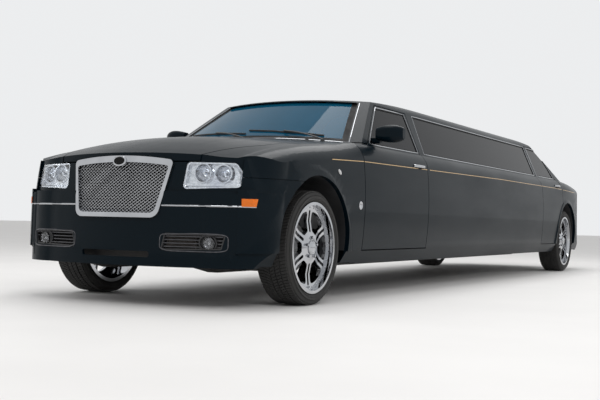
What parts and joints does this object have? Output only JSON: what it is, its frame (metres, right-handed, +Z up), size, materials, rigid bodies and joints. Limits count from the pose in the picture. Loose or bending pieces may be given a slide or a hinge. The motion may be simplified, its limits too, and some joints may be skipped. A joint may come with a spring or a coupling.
{
  "type": "stretch limousine",
  "caption": "Black four-door stretch limousine with a hollow cabin, opening doors and lids, steering front wheels and a mesh grille.",
  "frame": {"origin": "on the ground under the middle of the length and width", "axes": "+X to the car's left, +Y to the tail, +Z up"},
  "size_m": [2.09, 8.5681, 1.5248],
  "materials": {
    "black_paint": "gloss",
    "bumper_paint": "gloss",
    "chrome": "polished",
    "tinted_glass": "dark tint",
    "windshield_glass": "clear",
    "lamp_lens": "clear",
    "lamp_housing": "satin",
    "red_lens": "red",
    "black_plastic": "matte",
    "grey_steel": "satin",
    "bare_iron": "rough",
    "brake_steel": "machined",
    "tyre_rubber": "matte",
    "cabin_plastic": "matte",
    "black_leather": "soft",
    "bar_wood": "gloss"
  },
  "bodies": {
    "body": {"roof": "black_paint", "cowl": "black_paint", "front_bumper": "bumper_paint", "grille_frame": "chrome", "grille_mesh": "chrome", "headlights": "lamp_lens", "headlight_bowls": "lamp_housing", "fog_vents": "black_plastic", "windshield": "windshield_glass", "rear_window": "tinted_glass", "rear_bumper": "bumper_paint", "rear_deck": "black_paint", "taillights": "red_lens", "underbody": "grey_steel", "wheel_liners": "black_plastic", "chassis_frame": "grey_steel", "engine": "bare_iron", "front_suspension": "bare_iron", "rear_axle": "bare_iron", "driveline": "bare_iron", "dashboard": "cabin_plastic", "steering_wheel": "cabin_plastic", "front_seats": "black_leather", "partition": "cabin_plastic", "lounge_seats": "black_leather", "bar_cabinet": "bar_wood", "fuel_tank": "grey_steel", "side_panel_left": "black_paint", "side_panel_right": "black_paint", "fender_left": "black_paint", "fender_right": "black_paint", "rear_quarter_left": "black_paint", "rear_quarter_right": "black_paint", "long_window_left": "tinted_glass", "long_window_right": "tinted_glass"},
    "hood": {"hood": "black_paint"},
    "trunk_lid": {"trunk_lid": "black_paint"},
    "front_door_left": {"front_door_left": "black_paint", "front_door_glass_left": "tinted_glass", "mirror_left": "bumper_paint"},
    "rear_door_left": {"rear_door_left": "black_paint", "rear_door_glass_left": "tinted_glass"},
    "knuckle_left": {"knuckle_left": "brake_steel"},
    "front_wheel_left": {"front_rim_left": "chrome", "front_tyre_left": "tyre_rubber"},
    "rear_wheel_left": {"rear_rim_left": "chrome", "rear_tyre_left": "tyre_rubber"},
    "front_door_right": {"front_door_right": "black_paint", "front_door_glass_right": "tinted_glass", "mirror_right": "bumper_paint"},
    "rear_door_right": {"rear_door_right": "black_paint", "rear_door_glass_right": "tinted_glass"},
    "knuckle_right": {"knuckle_right": "brake_steel"},
    "front_wheel_right": {"front_rim_right": "chrome", "front_tyre_right": "tyre_rubber"},
    "rear_wheel_right": {"rear_rim_right": "chrome", "rear_tyre_right": "tyre_rubber"}
  },
  "joints": [
    {"name": "front_door_left_hinge", "type": "hinge", "parent": "body", "child": "front_door_left", "pos_m": [0.9395, -2.7095, 0.7], "axis": [0, 0, -1], "range_deg": [0, 65]},
    {"name": "rear_door_left_hinge", "type": "hinge", "parent": "body", "child": "rear_door_left", "pos_m": [0.9395, 2.0715, 0.7], "axis": [0, 0, -1], "range_deg": [0, 65]},
    {"name": "left_steer", "type": "hinge", "parent": "body", "child": "knuckle_left", "pos_m": [0.705, -3.4165, 0.364], "axis": [0, 0, 1], "range_deg": [-33, 33]},
    {"name": "front_wheel_left_spin", "type": "hinge", "parent": "knuckle_left", "child": "front_wheel_left", "pos_m": [0.8, -3.4165, 0.364], "axis": [1, 0, 0], "continuous": true},
    {"name": "rear_wheel_left_spin", "type": "hinge", "parent": "body", "child": "rear_wheel_left", "pos_m": [0.8, 3.1875, 0.364], "axis": [1, 0, 0], "continuous": true},
    {"name": "front_door_right_hinge", "type": "hinge", "parent": "body", "child": "front_door_right", "pos_m": [-0.9395, -2.7095, 0.7], "axis": [0, 0, 1], "range_deg": [0, 65]},
    {"name": "rear_door_right_hinge", "type": "hinge", "parent": "body", "child": "rear_door_right", "pos_m": [-0.9395, 2.0715, 0.7], "axis": [0, 0, 1], "range_deg": [0, 65]},
    {"name": "right_steer", "type": "hinge", "parent": "body", "child": "knuckle_right", "pos_m": [-0.705, -3.4165, 0.364], "axis": [0, 0, 1], "range_deg": [-33, 33]},
    {"name": "front_wheel_right_spin", "type": "hinge", "parent": "knuckle_right", "child": "front_wheel_right", "pos_m": [-0.8, -3.4165, 0.364], "axis": [1, 0, 0], "continuous": true},
    {"name": "rear_wheel_right_spin", "type": "hinge", "parent": "body", "child": "rear_wheel_right", "pos_m": [-0.8, 3.1875, 0.364], "axis": [1, 0, 0], "continuous": true},
    {"name": "hood_hinge", "type": "hinge", "parent": "body", "child": "hood", "pos_m": [0, -2.8165, 1.085], "axis": [-1, 0, 0], "range_deg": [0, 50]},
    {"name": "trunk_lid_hinge", "type": "hinge", "parent": "body", "child": "trunk_lid", "pos_m": [0, 3.5325, 1.122], "axis": [1, 0, 0], "range_deg": [0, 75]}
  ],
  "couplings": [
    {"joint": "right_steer", "follows": "left_steer", "ratio": 1}
  ]
}
